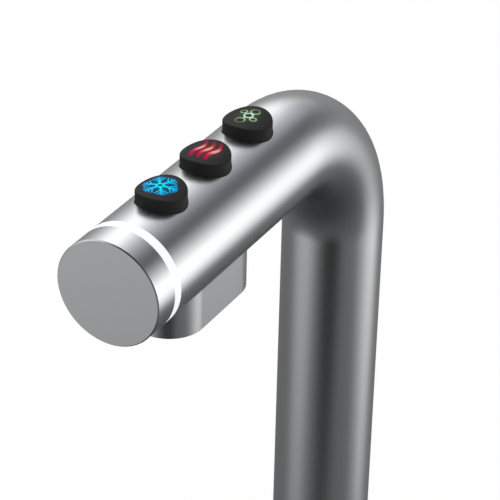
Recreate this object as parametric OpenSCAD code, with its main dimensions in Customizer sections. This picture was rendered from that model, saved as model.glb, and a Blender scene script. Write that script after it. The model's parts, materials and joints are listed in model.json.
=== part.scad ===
// Three way filtered water tap: chilled, hot and sparkling water from one bent tube.
// The origin is the centre of the base on the worktop. +Z is up and the arm reaches along -Y.
// Distances along the arm are measured outwards from the column's axis and are called s here.
// Heights inside the arm are measured from the arm's centreline.

/* [Tube] */
// Outside diameter of the column and the arm
tube_d = 50; // [46:1:54]
// Wall of the tube
tube_wall = 2; // [1.5:0.1:2.5]
// Height of the arm's centreline above the worktop
arm_h = 325; // [290:5:400]
// Radius of the bend on the centreline
bend_r = 66.3; // [56:0.1:70]
// Reach from the column's axis to the end of the cap
reach = 204.5; // [202:0.5:230]

/* [End cap and light ring] */
// Length of the cap outside the light ring
cap_len = 13; // [9:0.1:16]
// Width of the light ring
ring_w = 5; // [4:0.1:7]
// Chamfer on the cap's and the base's outer edges
edge_ch = 0.5; // [0.2:0.1:1]
// Diameter of the spigot that holds the cap
spigot_d = 28; // [24:0.5:31]

/* [Outlet] */
// Width of the outlet block as a share of the tube's diameter
outlet_share = 0.668; // [0.64:0.002:0.7]
// Distance between the centres of the block's round ends
outlet_span = 34.4; // [33:0.1:38]
// How far the block reaches below the tube
outlet_drop = 14.25; // [12:0.05:20]
// From the tube's end to the centre of the block's front end
outlet_setback = 31.7; // [29:0.1:34]
// Wall of the block
outlet_wall = 1.8; // [1.2:0.1:2.2]
// Diameter of a nozzle's mouth
nozzle_d = 11; // [9:0.1:11.6]

/* [Buttons] */
// Diameter of a button
button_d = 22.54; // [20:0.02:23]
// How far a button's crown stands above the tube
button_rise = 5.5; // [3:0.1:7]
// Distance between two buttons
button_pitch = 36.7; // [33:0.1:38]
// From the tube's end to the centre of the first button
button_setback = 24.8; // [24:0.1:27]
// How far a button is pressed in
button_travel = 1.5; // [0.8:0.1:1.8]

/* [Base] */
// How far the base ring reaches out past the tube
base_lip = 4; // [3:0.5:9]
// Thickness of the base ring
base_t = 6; // [4:0.5:10]
// Diameter of the threaded shank as a share of the tube's diameter
shank_share = 0.68; // [0.67:0.005:0.71]
// Length of the shank below the worktop's top
shank_len = 62; // [56:1:90]
// Thickness of the worktop that the clamp is set for
worktop_t = 30; // [12:1:34]
// Width of the fixing nut across its flats
nut_flats = 46; // [44:1:52]

/* [Water and wiring] */
// Outside diameter of a supply tube
supply_d = 7; // [6:0.1:7.4]
// Bore of a supply tube
supply_bore = 4.4; // [4:0.1:4.8]
// Diameter of the stems that the filter unit's hoses push onto
stem_d = 6.35; // [6:0.05:7]
// Length of the cold and the hot stem below the shank
stem_len = 23; // [18:1:32]
// How much further the sparkling stem reaches, so that the three fittings stand clear
stem_step = 17; // [14:1:24]
// Diameter of the wiring loom
loom_d = 4.4; // [3.6:0.1:5]

/* [Hidden] */
$fn = 96;
over = 1;
// Gaps: fit is between pieces that are pressed or glued, slip is for sliding and air is for the rest
fit = 0.05;
slip = 0.06;
air = 0.3;

tube_r = tube_d / 2;
tube_ri = tube_r - tube_wall;

// Places along the arm
s_cap = reach - cap_len;
s_tube = s_cap - ring_w;
cold = 0;
hot = 1;
sparkling = 2;
button_s = [for (i = [0:2]) s_tube - button_setback - i * button_pitch];
outlet_r = tube_r * outlet_share;
outlet_front = s_tube - outlet_setback;
outlet_rear = outlet_front - outlet_span;
outlet_s = [outlet_front, outlet_front - outlet_span / 2, outlet_rear];

// The cap, the light ring and its lamps
cap_front = 2.4;
spigot_wall = 2;
spigot_len = 7.4;
shoulder_d = 38;
collar_len = 1.6;
lamp = [1.6, 1.2, 0.8];
lamp_air = 0.2;
lamp_count = 12;
lamp_board_t = 1.2;
socket_len = 6.3;
seal_wire = 1.7;
seal_setback = 3.4;
s_lamp_board = s_tube - collar_len - lamp_air - lamp[2] - lamp_board_t;
s_socket = s_lamp_board - socket_len;
s_shoulder = s_lamp_board + lamp_board_t + air;
s_spigot = s_shoulder - spigot_len;
lamp_ring_r = (shoulder_d / 2 + tube_ri) / 2;
set_screw_d = 3;
set_screw_len = 6;
key_flats_share = 0.5;
key_depth_share = 0.35;
s_set_screw = (s_lamp_board + s_socket) / 2;
flex_w = 8;
flex_t = 0.2;
flex_bite = 2;
notch_depth = 4;
notch_z = tube_ri - notch_depth;

// The buttons
button_r = button_d / 2;
crown_r = tube_r + button_rise;
cap_wall = 1.6;
cap_skin = 2.2;
lip_w = 1.15;
lip_t = 1.2;
guide_disc_t = 1.6;
guide_stem_d = 4.4;
crown_edge_z = sqrt(crown_r * crown_r - button_r * button_r);
cap_ceiling = crown_edge_z - cap_skin;

// The carrier that guides them, the board and the tray
carrier_depth = 8.8;
board_top = 4.6;
pocket_w = 23;
pocket_h = 5;
well_wall = 2;
post_d = 4.4;
post_x = 14.5;
board_w = 34;
board_t = 1.6;
board_front = 9.8;
board_rear = 8.5;
tray_t = 3;
tray_front = 9.8;
tray_rear = 1.5;
carrier_z = tube_ri - carrier_depth;
tray_top = board_top - board_t;
tray_z = tray_top - tray_t;
lip_z = carrier_z - lip_t;
s_carrier_front = button_s[cold] + button_r + slip + well_wall;
s_carrier_rear = button_s[sparkling] - button_r - slip - well_wall;
s_board_front = button_s[cold] + board_front;
s_board_rear = button_s[sparkling] - board_rear;
s_tray_front = button_s[cold] + tray_front;
s_tray_rear = button_s[sparkling] - tray_rear;
post_s = [for (i = [0, 1]) (button_s[i] + button_s[i + 1]) / 2];
seal_groove_h = 1.6;
button_seal_wire = 1.4;
seal_lift = 1.4;

// The switches, the small lamps and the springs
switch_w = 6;
switch_h = 5;
plunger_d = 3.4;
plunger_len = 6;
switch_floor = 1.2;
press_air = 0.4;
icon_lamp = [1.6, 1.6, 0.8];
icon_lamp_place = 5.6;
spring_d = 12.2;
spring_wire = 0.8;
spring_turns = 8;
coil_steps = 10;
wire_sides = 6;
closed_share = 1.06;
plunger_z = board_top + switch_floor + button_travel + press_air;

// The screws that hold the chassis, the tray and the outlet plate
screw_d = 2.5;
screw_head_d = 4.4;
screw_head_t = 1.6;
chassis_bite = 5.5;
tray_bite = 6;
plate_bite = 6;
sunk_t = 1.3;

// The outlet block, its plate and the water ways
lip_in = 1.7;
lip_up = 1.4;
rim_up = 1;
plate_recess = 0.5;
plate_t = 2.25;
rim_z = rim_up - sqrt(tube_ri * tube_ri - outlet_r * outlet_r);
shoulder_z = rim_z - lip_up;
outlet_z = -tube_r - outlet_drop;
plate_z = outlet_z + plate_recess;
core_z = plate_z + plate_t;
core_r = outlet_r - outlet_wall - 4 * fit;
block_air = 0.1;
block_angle = 28.4;
block_r = outlet_r - outlet_wall - lip_in - block_air;
block_w = 2 * block_r * cos(block_angle);
block_front = block_r * sin(block_angle);
block_rear = 4.4;
nipple_len = 6.5;
nipple_air = 0.03;
way_d = 3.6;
cross_d = 3;
drop_d = 4.2;
duct_drop = 4.5;
duct_step = 5;
duct_in = 7.7;
duct_x = outlet_r - duct_in;
duct_high = tray_z - duct_drop;
duct_low = duct_high - duct_step;
ducts = [[-duct_x, duct_high], [duct_x, duct_high], [0, duct_low]];
s_block_rear = outlet_rear - block_rear;
s_nipple = s_block_rear - nipple_len;
s_supply_end = s_block_rear - air;
foot_d = 2.8;
foot_angle = 18.5;
nozzle_socket_d = 13.2;
nozzle_socket_h = 9;
nozzle_wall = 0.8;
insert_t = 2;
insert_hole_d = 1.5;
insert_ring_share = 0.6;
nozzle_seal_wire = 1.5;

// The header and the plug of the loom
header = [8, 6, 5.5];
header_in = 17;
header_lip = 1;
plug = [7, 6, 4.4];
loom_y = tray_top - header[2] / 2;
s_header = s_board_rear + header_in;
s_plug = s_header - plug[1];

// The base, the shank and the clamp
boss_h = 18;
boss_lip = 6.5;
shank_wall = 2.5;
shank_r = tube_r * shank_share;
base_r = tube_r + base_lip;
shank_ri = shank_r - shank_wall;
thread_fit = 0.02;
shank_top = base_t + boss_h - boss_lip;
gasket_w = 4;
gasket_t = 2;
gasket_in = 5;
washer_d = 54;
rubber_t = 3;
washer_t = 2;
nut_t = 8;
nut_ch = 1.2;
base_screw_d = 4;
base_screw_len = 6.5;
base_screw_up = 8;
hex_share = 1 / cos(30);

// The tail plug at the shank's foot, the stems and the socket of the loom
tail_plug_t = 8;
tail_neck_d = 5.8;
tail_nipple = 8;
stem_bore = 3.2;
stem_ch = 0.6;
tail_top = tail_plug_t - shank_len;
supply_foot = tail_top + air;
ferrule_t = 0.43;
ferrule_back = 1.7;
ferrule_len = 5.4;
socket_d = 7.8;
socket_wall = 0.9;
socket_up = 2;
socket_down = 2;
socket_depth = 7;
pin_d = 0.9;
pin_ring_d = 3;
pin_count = 4;

// Puts a shape that stands along its own Z on the arm's centreline, at s, pointing outwards
module on_arm(s) {
    translate([0, -s, arm_h]) rotate([90, 0, 0]) children();
}

// Puts an upright shape at s, with its Z counted from the arm's centreline
module in_arm(s, z = 0, x = 0) {
    translate([x, -s, arm_h + z]) children();
}

// A block from s1 out to s2 and from z1 up to z2
module arm_block(w, s1, s2, z1, z2, x = 0) {
    translate([x - w / 2, -s2, arm_h + z1]) cube([w, s2 - s1, z2 - z1]);
}

// A shape with round ends, as long as the outlet block's span
module stadium(r, z1, z2) {
    for (s = [outlet_front, outlet_rear])
        in_arm(s, z1) cylinder(r = r, h = z2 - z1);
    arm_block(2 * r, outlet_rear, outlet_front, z1, z2);
}

// A quarter bend of a rod of radius r, beside the centreline by x and outside it by out
module quarter_bend(r, x = 0, out = 0) {
    translate([0, -bend_r, arm_h - bend_r]) rotate([90, 0, 90])
        rotate_extrude(angle = 90) translate([bend_r + out, x]) circle(r = r);
}

// A rod that follows the column, the bend and the arm, from z_foot up and out to s_end
module bent_rod(r, z_foot, s_end, x = 0, out = 0) {
    translate([x, out, z_foot]) cylinder(r = r, h = arm_h - bend_r - z_foot);
    quarter_bend(r, x, out);
    on_arm(bend_r) translate([x, out, 0]) cylinder(r = r, h = s_end - bend_r);
}

// A closed ring of round wire
module wire_ring(r, wire) {
    rotate_extrude() translate([r, 0]) circle(d = wire);
}

// A grub screw that stands along Z, with its hexagon socket at the foot
module grub_screw(d, len) {
    difference() {
        cylinder(d = d, h = len);
        translate([0, 0, -over])
            cylinder(d = d * key_flats_share * hex_share, h = over + len * key_depth_share, $fn = 6);
    }
}

// A cheese-head screw with its head below Z zero
module cheese_screw(len) {
    cylinder(d = screw_d, h = len);
    difference() {
        translate([0, 0, -screw_head_t]) cylinder(d = screw_head_d, h = screw_head_t);
        translate([0, 0, -screw_head_t - over])
            cylinder(d = screw_d * hex_share, h = over + screw_head_t / 2, $fn = 6);
    }
}

// A countersunk screw whose flat head faces down at Z zero
module sunk_screw(len) {
    difference() {
        union() {
            cylinder(d1 = screw_head_d, d2 = screw_d, h = sunk_t);
            cylinder(d = screw_d, h = len);
        }
        translate([0, 0, -over]) cylinder(d = screw_d * hex_share / 2, h = over + sunk_t / 2, $fn = 6);
    }
}

// The clear hole for a countersunk screw
module sunk_hole(len) {
    translate([0, 0, -fit]) cylinder(d1 = screw_head_d + 4 * fit, d2 = screw_d + 2 * fit, h = sunk_t + fit);
    translate([0, 0, -over]) cylinder(d = screw_head_d + 4 * fit, h = over);
    cylinder(d = screw_d + 2 * fit, h = len + fit);
}

module body_tube() {
    color("lightsteelblue") difference() {
        bent_rod(tube_r, base_t, s_tube);
        bent_rod(tube_ri, base_t - over, s_tube + over);
        for (s = button_s) in_arm(s) cylinder(r = button_r + air, h = tube_d);
        stadium(outlet_r + fit, outlet_z, 0);
        in_arm(s_set_screw, -tube_d) cylinder(d = set_screw_d + 4 * fit, h = tube_d);
        translate([0, 0, base_t + base_screw_up]) rotate([-90, 0, 0])
            cylinder(d = base_screw_d + 4 * fit, h = tube_d);
    }
}

module outlet_housing() {
    color("lightsteelblue") difference() {
        stadium(outlet_r, outlet_z, rim_z);
        stadium(outlet_r - outlet_wall, outlet_z - over, shoulder_z);
        stadium(outlet_r - outlet_wall - lip_in, shoulder_z - over, rim_z + over);
    }
}

module end_cap() {
    spigot_r = spigot_d / 2;
    bore = spigot_r - spigot_wall;
    groove = seal_wire + 2 * fit;
    s_groove = s_shoulder - seal_setback;
    color("lightsteelblue") on_arm(0) rotate_extrude() polygon([
        [0, reach - cap_front], [0, reach], [tube_r - edge_ch, reach], [tube_r, reach - edge_ch],
        [tube_r, s_cap], [shoulder_d / 2, s_cap], [shoulder_d / 2, s_shoulder],
        [spigot_r, s_shoulder], [spigot_r, s_groove], [spigot_r - seal_wire, s_groove],
        [spigot_r - seal_wire, s_groove - groove], [spigot_r, s_groove - groove],
        [spigot_r, s_spigot + edge_ch], [spigot_r - edge_ch, s_spigot], [bore, s_spigot],
        [bore, reach - cap_front]]);
}

module light_ring() {
    bore = shoulder_d / 2 + fit;
    color("white") on_arm(0) rotate_extrude() polygon([
        [bore, s_tube - collar_len], [tube_ri - fit, s_tube - collar_len], [tube_ri - fit, s_tube],
        [tube_r, s_tube], [tube_r, s_cap], [bore, s_cap]]);
}

module ring_lamp_board() {
    color("seagreen") on_arm(s_lamp_board) difference() {
        cylinder(r = tube_ri - fit, h = lamp_board_t);
        translate([0, 0, -over]) cylinder(d = spigot_d + 2 * air, h = lamp_board_t + 2 * over);
    }
}

module ring_lamps() {
    color("lightyellow") on_arm(s_lamp_board + lamp_board_t)
        for (i = [0:lamp_count - 1])
            rotate([0, 0, i * 360 / lamp_count])
                translate([-lamp[0] / 2, lamp_ring_r - lamp[1] / 2, 0]) cube(lamp);
}

module cap_socket() {
    color("dimgray") difference() {
        on_arm(s_socket) cylinder(r = tube_ri - fit, h = socket_len);
        on_arm(s_socket - over) cylinder(d = spigot_d + 2 * fit, h = socket_len + 2 * over);
        in_arm(s_set_screw, -tube_d) cylinder(d = set_screw_d + 2 * thread_fit, h = tube_d);
        arm_block(flex_w + 2 * air, s_socket - over, s_lamp_board + over, notch_z, tube_r);
    }
}

module cap_seal() {
    color("black") on_arm(s_shoulder - seal_setback - seal_wire / 2 - fit)
        wire_ring((spigot_d - seal_wire) / 2, seal_wire - 2 * thread_fit);
}

module cap_set_screw() {
    color("gray") in_arm(s_set_screw, -tube_r + air) grub_screw(set_screw_d, set_screw_len);
}

// A flat strip that leaves the board, climbs behind the cap's socket and goes through its notch
module ring_flex() {
    s_start = s_board_front - flex_bite;
    s_rise = (s_socket + s_carrier_front) / 2;
    top = notch_z + air;
    color("orange") translate([-flex_w / 2, 0, arm_h]) rotate([90, 0, 90])
        linear_extrude(height = flex_w) polygon([
            [-s_start, board_top], [-s_rise - flex_t / 2, board_top],
            [-s_rise - flex_t / 2, top], [-s_lamp_board, top],
            [-s_lamp_board, top + flex_t], [-s_rise + flex_t / 2, top + flex_t],
            [-s_rise + flex_t / 2, board_top + flex_t], [-s_start, board_top + flex_t]]);
}

// The cap's crown is concentric with the tube, so its rim rises and falls with it
module button_cap(s) {
    color("black") difference() {
        intersection() {
            in_arm(s, lip_z) {
                cylinder(r = button_r, h = crown_r - lip_z + over);
                cylinder(r = button_r + lip_w, h = lip_t);
            }
            on_arm(s - tube_r) cylinder(r = crown_r, h = tube_d);
        }
        in_arm(s, lip_z - over) cylinder(r = button_r - cap_wall, h = cap_ceiling - lip_z + over);
    }
}
module button_cold() { button_cap(button_s[cold]); }
module button_hot() { button_cap(button_s[hot]); }
module button_sparkling() { button_cap(button_s[sparkling]); }

// A clear disc under the crown, which spreads the lamps' light, and the stem that works the switch
module light_guide(s) {
    stem_z = plunger_z + plunger_len;
    color("aliceblue") {
        in_arm(s, cap_ceiling - guide_disc_t) cylinder(r = button_r - cap_wall - fit, h = guide_disc_t);
        in_arm(s, stem_z) cylinder(d = guide_stem_d, h = cap_ceiling - guide_disc_t - stem_z);
    }
}
module light_guide_cold() { light_guide(button_s[cold]); }
module light_guide_hot() { light_guide(button_s[hot]); }
module light_guide_sparkling() { light_guide(button_s[sparkling]); }

module plunger(s) {
    color("dimgray") in_arm(s, plunger_z) cylinder(d = plunger_d, h = plunger_len);
}
module plunger_cold() { plunger(button_s[cold]); }
module plunger_hot() { plunger(button_s[hot]); }
module plunger_sparkling() { plunger(button_s[sparkling]); }

// The height of the wire's underside after t turns: the first and the last turn lie closed
function coil_z(t, len) =
    let (shut = spring_wire * closed_share, open = (len - spring_wire - 2 * shut) / (spring_turns - 2))
    t < 1 ? t * shut
    : t > spring_turns - 1 ? len - spring_wire - (spring_turns - t) * shut
    : shut + (t - 1) * open;

// A compression spring of round wire, from the board up to the light guide's disc
module return_spring(s) {
    len = cap_ceiling - guide_disc_t - air / 2 - board_top;
    rings = spring_turns * coil_steps;
    mean_r = (spring_d - spring_wire) / 2;
    points = [for (i = [0:rings]) let (a = 360 * i / coil_steps)
        for (k = [0:wire_sides - 1]) let (b = 360 * k / wire_sides,
            r = mean_r + spring_wire / 2 * cos(b))
            [r * cos(a), r * sin(a),
                coil_z(i / coil_steps, len) + spring_wire / 2 * (1 + sin(b))]];
    sides = [for (i = [0:rings - 1]) for (k = [0:wire_sides - 1])
        let (a = i * wire_sides + k, b = i * wire_sides + (k + 1) % wire_sides,
            c = a + wire_sides, d = b + wire_sides)
            for (f = [[a, b, c], [b, d, c]]) f];
    last = rings * wire_sides;
    ends = [for (k = [1:wire_sides - 2])
        for (f = [[0, k + 1, k], [last, last + k, last + k + 1]]) f];
    color("silver") in_arm(s, board_top) polyhedron(points = points, faces = concat(sides, ends));
}
module spring_cold() { return_spring(button_s[cold]); }
module spring_hot() { return_spring(button_s[hot]); }
module spring_sparkling() { return_spring(button_s[sparkling]); }

module button_seals() {
    color("darkslategray") for (s = button_s)
        in_arm(s, carrier_z + seal_lift + seal_groove_h / 2)
            wire_ring(button_r + slip + button_seal_wire / 2, button_seal_wire);
}

// A moulded saddle under the arm's top wall, with a well for each button and four posts
module button_carrier() {
    well_r = button_r + slip;
    land = button_pitch / 2 - well_r - well_wall;
    color("darkslategray") difference() {
        union() {
            intersection() {
                on_arm(s_carrier_rear) cylinder(r = tube_ri - 2 * fit, h = s_carrier_front - s_carrier_rear);
                arm_block(tube_d, s_carrier_rear - over, s_carrier_front + over, carrier_z, tube_r);
            }
            for (s = post_s) for (x = [-post_x, post_x])
                in_arm(s, board_top, x) cylinder(d = post_d, h = carrier_z - board_top);
        }
        for (s = button_s) {
            in_arm(s, carrier_z - over) cylinder(r = well_r, h = tube_r);
            in_arm(s, carrier_z + seal_lift) cylinder(r = well_r + button_seal_wire + fit, h = seal_groove_h);
        }
        for (s = post_s) {
            arm_block(pocket_w, s - land, s + land, carrier_z - over, carrier_z + pocket_h);
            for (x = [-post_x, post_x]) in_arm(s, board_top - over, x)
                cylinder(d = screw_d + 2 * thread_fit, h = over + chassis_bite + fit);
        }
    }
}

module switch_bodies() {
    color("silver") for (s = button_s) difference() {
        arm_block(switch_w, s - switch_w / 2, s + switch_w / 2, board_top, board_top + switch_h);
        in_arm(s, board_top + switch_floor) cylinder(d = plunger_d + 2 * slip, h = switch_h);
    }
}

module icon_lamps() {
    color("lightyellow") for (s = button_s) for (x = [-1, 1]) for (y = [-1, 1])
        in_arm(s + y * icon_lamp_place + icon_lamp[1] / 2, board_top, x * icon_lamp_place - icon_lamp[0] / 2)
            cube(icon_lamp);
}

module control_board() {
    color("seagreen") difference() {
        arm_block(board_w, s_board_rear, s_board_front, tray_top, board_top);
        for (s = post_s) for (x = [-post_x, post_x])
            in_arm(s, tray_top - over, x) cylinder(d = screw_d + 4 * fit, h = board_t + 2 * over);
    }
}

// An open-fronted header under the board's rear end
module board_header() {
    color("ivory") difference() {
        arm_block(header[0], s_header, s_header + header[1], tray_top - header[2], tray_top);
        arm_block(header[0] - 2 * header_lip, s_header - over, s_header + header[1] - header_lip,
            tray_top - header[2] + header_lip, tray_top - header_lip);
    }
}

// The tray stands on the housing's rim with four feet, carries the board and the manifold, and has
// a notch for the header
module chassis_tray() {
    rim_mid = outlet_r - outlet_wall - lip_in / 2 + outlet_wall / 2;
    color("gray") difference() {
        union() {
            arm_block(board_w, s_tray_rear, s_tray_front, tray_z, tray_top);
            for (side = [-1, 1]) {
                in_arm(outlet_rear - rim_mid * sin(foot_angle), rim_z, side * rim_mid * cos(foot_angle))
                    cylinder(d = foot_d, h = tray_z + tray_t / 2 - rim_z);
                in_arm(outlet_front + rim_mid * sin(foot_angle), rim_z, side * rim_mid * cos(foot_angle))
                    cylinder(d = foot_d, h = tray_z + tray_t / 2 - rim_z);
            }
        }
        for (s = post_s) for (x = [-post_x, post_x])
            in_arm(s, tray_z - over, x) cylinder(d = screw_d + 4 * fit, h = tray_t + 2 * over);
        for (i = [0, 1]) in_arm((outlet_s[i] + outlet_s[i + 1]) / 2, tray_top)
            mirror([0, 0, 1]) sunk_hole(tray_t + over);
        arm_block(header[0] + 2 * header_lip, s_tray_rear - over, s_header + header[1] + air,
            tray_z - over, tray_top + over);
    }
}

module chassis_screws() {
    color("silver") for (s = post_s) for (x = [-post_x, post_x])
        in_arm(s, tray_z, x) cheese_screw(tray_t + board_t + chassis_bite);
}

module tray_screws() {
    color("silver") for (i = [0, 1]) in_arm((outlet_s[i] + outlet_s[i + 1]) / 2, tray_top)
        mirror([0, 0, 1]) sunk_screw(tray_t + tray_bite);
}

// Water comes in through three nipples at the rear, crosses to the middle and goes down
module outlet_manifold() {
    color("ivory") difference() {
        union() {
            stadium(core_r, core_z, shoulder_z);
            arm_block(block_w, s_block_rear, outlet_front + block_front, shoulder_z, tray_z);
            for (i = [cold, hot, sparkling]) on_arm(s_nipple) translate(ducts[i])
                cylinder(d = supply_bore - 2 * nipple_air, h = nipple_len + over);
        }
        for (i = [cold, hot, sparkling]) {
            on_arm(s_nipple - over) translate(ducts[i])
                cylinder(d = way_d, h = outlet_s[i] - s_nipple + over + way_d / 2);
            if (i != sparkling) in_arm(outlet_s[i], ducts[i][1]) rotate([0, 90 * sign(ducts[i][0]), 0])
                cylinder(d = cross_d, h = duct_x);
            in_arm(outlet_s[i], core_z + nozzle_socket_h - over)
                cylinder(d = drop_d, h = ducts[i][1] + drop_d / 2 - core_z - nozzle_socket_h + over);
            in_arm(outlet_s[i], core_z - over) cylinder(d = nozzle_socket_d, h = nozzle_socket_h + over);
        }
        for (i = [0, 1]) in_arm((outlet_s[i] + outlet_s[i + 1]) / 2) {
            translate([0, 0, tray_z - tray_bite - fit])
                cylinder(d = screw_d + 2 * thread_fit, h = tray_bite + fit + over);
            translate([0, 0, core_z - over])
                cylinder(d = screw_d + 2 * thread_fit, h = plate_bite + fit + over);
        }
    }
}

module outlet_plate() {
    color("dimgray") difference() {
        stadium(core_r, plate_z, core_z);
        for (s = outlet_s) in_arm(s, plate_z - over) cylinder(d = nozzle_d + 4 * fit, h = plate_t + 2 * over);
        for (i = [0, 1]) in_arm((outlet_s[i] + outlet_s[i + 1]) / 2, plate_z) sunk_hole(plate_t + over);
    }
}

module plate_screws() {
    color("silver") for (i = [0, 1]) in_arm((outlet_s[i] + outlet_s[i + 1]) / 2, plate_z)
        sunk_screw(plate_t + plate_bite);
}

// A turned nozzle: its head seats in the manifold and its mouth shows through the plate
module nozzle(s) {
    head_r = nozzle_socket_d / 2 - fit;
    mouth_r = nozzle_d / 2;
    seat_r = mouth_r - nozzle_wall;
    foot_z = outlet_z + plate_recess / 2;
    throat_z = foot_z + plate_recess / 2 + insert_t;
    top_z = core_z + nozzle_socket_h;
    ring_z = (core_z + top_z) / 2;
    groove = nozzle_seal_wire / 2 + fit;
    color("silver") in_arm(s) rotate_extrude() polygon([
        [seat_r, foot_z], [mouth_r, foot_z], [mouth_r, core_z], [head_r, core_z],
        [head_r, ring_z - groove], [head_r - nozzle_seal_wire, ring_z - groove],
        [head_r - nozzle_seal_wire, ring_z + groove], [head_r, ring_z + groove],
        [head_r, top_z], [way_d / 2, top_z], [way_d / 2, throat_z + seat_r],
        [seat_r - nozzle_wall, throat_z + nozzle_wall], [seat_r - nozzle_wall, throat_z],
        [seat_r, throat_z]]);
}
module nozzle_cold() { nozzle(outlet_s[cold]); }
module nozzle_hot() { nozzle(outlet_s[hot]); }
module nozzle_sparkling() { nozzle(outlet_s[sparkling]); }

module nozzle_seals() {
    color("black") for (s = outlet_s) in_arm(s, core_z + nozzle_socket_h / 2)
        wire_ring((nozzle_socket_d - nozzle_seal_wire) / 2 - fit, nozzle_seal_wire - 2 * thread_fit);
}

// A drilled disc in each mouth, which makes the jet run straight
module flow_inserts() {
    insert_r = nozzle_d / 2 - nozzle_wall - fit;
    color("white") for (s = outlet_s) in_arm(s, outlet_z + plate_recess) difference() {
        cylinder(r = insert_r, h = insert_t);
        translate([0, 0, -over]) cylinder(d = insert_hole_d, h = insert_t + 2 * over);
        for (i = [0:5]) rotate([0, 0, 60 * i]) translate([insert_r * insert_ring_share, 0, -over])
            cylinder(d = insert_hole_d, h = insert_t + 2 * over);
    }
}

// A tube from its stem in the shank up the column, round the bend and out to the manifold
module supply_tube(duct) {
    difference() {
        bent_rod(supply_d / 2, supply_foot, s_supply_end, duct[0], duct[1]);
        bent_rod(supply_bore / 2, supply_foot - over, s_supply_end + over, duct[0], duct[1]);
    }
}
module supply_tube_cold() { color("deepskyblue") supply_tube(ducts[cold]); }
module supply_tube_hot() { color("crimson") supply_tube(ducts[hot]); }
module supply_tube_sparkling() { color("palegreen") supply_tube(ducts[sparkling]); }

module ferrule() {
    difference() {
        cylinder(d = supply_d + 2 * thread_fit + 2 * ferrule_t, h = ferrule_len);
        translate([0, 0, -over]) cylinder(d = supply_d + 2 * thread_fit, h = ferrule_len + 2 * over);
    }
}

// A crimped sleeve at both ends of each supply tube
module supply_ferrules() {
    color("silver") {
        for (p = ducts) {
            on_arm(s_supply_end - ferrule_back - ferrule_len) translate(p) ferrule();
            translate([p[0], p[1], supply_foot + ferrule_back]) ferrule();
        }
    }
}

module wiring_loom() {
    color("darkgray") bent_rod(loom_d / 2, tail_top + socket_up, s_plug, 0, loom_y);
}

module loom_plug() {
    tongue = header[0] - 2 * header_lip - 2 * air;
    color("white") {
        arm_block(plug[0], s_plug, s_header, loom_y - plug[2] / 2, loom_y + plug[2] / 2);
        arm_block(tongue, s_header - over, s_header + header[1] / 2,
            loom_y - plug[2] / 4, loom_y + plug[2] / 4);
    }
}

module loom_socket() {
    color("dimgray") translate([0, loom_y, 0]) difference() {
        translate([0, 0, -shank_len - socket_down])
            cylinder(d = socket_d, h = tail_plug_t + socket_up + socket_down);
        translate([0, 0, -shank_len - socket_down - over])
            cylinder(d = socket_d - 2 * socket_wall, h = socket_depth + over);
    }
}

module socket_pins() {
    color("gold") for (i = [0:pin_count - 1])
        translate([0, loom_y, socket_depth / 2 - socket_down - shank_len])
            rotate([0, 0, 45 + i * 360 / pin_count])
                translate([pin_ring_d / 2, 0, 0]) cylinder(d = pin_d, h = socket_depth / 2);
}

module base_ring() {
    boss_r = tube_ri - fit;
    bore = shank_r + thread_fit;
    gasket_ri = shank_r + gasket_in;
    color("lightsteelblue") difference() {
        rotate_extrude() polygon([
            [bore, 0], [base_r, 0], [base_r, base_t - edge_ch], [base_r - edge_ch, base_t],
            [boss_r, base_t], [boss_r, base_t + boss_h - edge_ch], [boss_r - edge_ch, base_t + boss_h],
            [shank_ri, base_t + boss_h], [shank_ri, shank_top], [bore, shank_top]]);
        translate([0, 0, -over]) difference() {
            cylinder(r = gasket_ri + gasket_w, h = gasket_t + over);
            translate([0, 0, -over]) cylinder(r = gasket_ri, h = gasket_t + 3 * over);
        }
        translate([0, shank_ri, base_t + base_screw_up]) rotate([-90, 0, 0])
            cylinder(d = base_screw_d + 2 * thread_fit, h = tube_d);
    }
}

module base_gasket() {
    gasket_ri = shank_r + gasket_in;
    color("black") difference() {
        cylinder(r = gasket_ri + gasket_w - fit, h = gasket_t);
        translate([0, 0, -over]) cylinder(r = gasket_ri + fit, h = gasket_t + 2 * over);
    }
}

module base_set_screw() {
    color("gray") translate([0, tube_r - air, base_t + base_screw_up]) rotate([90, 0, 0])
        grub_screw(base_screw_d, base_screw_len);
}

module threaded_shank() {
    color("silver") rotate_extrude() polygon([
        [shank_ri, -shank_len], [shank_r - edge_ch, -shank_len], [shank_r, edge_ch - shank_len],
        [shank_r, shank_top - fit], [shank_ri, shank_top - fit]]);
}

// Closes the shank's foot and holds the three stems and the loom's socket
module tail_plug() {
    color("dimgray") difference() {
        translate([0, 0, -shank_len]) cylinder(r = shank_ri - fit, h = tail_plug_t);
        for (p = ducts)
            translate([p[0], p[1], -shank_len - over])
                cylinder(d = tail_neck_d + 2 * thread_fit, h = tail_plug_t + 2 * over);
        translate([0, loom_y, -shank_len - over])
            cylinder(d = socket_d + 2 * fit, h = tail_plug_t + 2 * over);
    }
}

// A stem for a push-on fitting, a neck through the plug and a nipple inside the supply tube
module inlet_stem(duct, len) {
    foot = -shank_len - len;
    nipple_r = supply_bore / 2 - nipple_air;
    color("gold") translate([duct[0], duct[1], 0]) rotate_extrude() polygon([
        [stem_bore / 2, foot], [stem_d / 2 - stem_ch, foot], [stem_d / 2, foot + stem_ch],
        [stem_d / 2, -shank_len], [tail_neck_d / 2, -shank_len], [tail_neck_d / 2, tail_top],
        [nipple_r, tail_top], [nipple_r, tail_top + tail_nipple],
        [stem_bore / 2, tail_top + tail_nipple]]);
}
module inlet_stem_cold() { inlet_stem(ducts[cold], stem_len); }
module inlet_stem_hot() { inlet_stem(ducts[hot], stem_len); }
module inlet_stem_sparkling() { inlet_stem(ducts[sparkling], stem_len + stem_step); }

module clamp_rubber() {
    color("black") translate([0, 0, -worktop_t - rubber_t]) difference() {
        cylinder(d = washer_d, h = rubber_t);
        translate([0, 0, -over]) cylinder(r = shank_r + air, h = rubber_t + 2 * over);
    }
}

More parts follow.
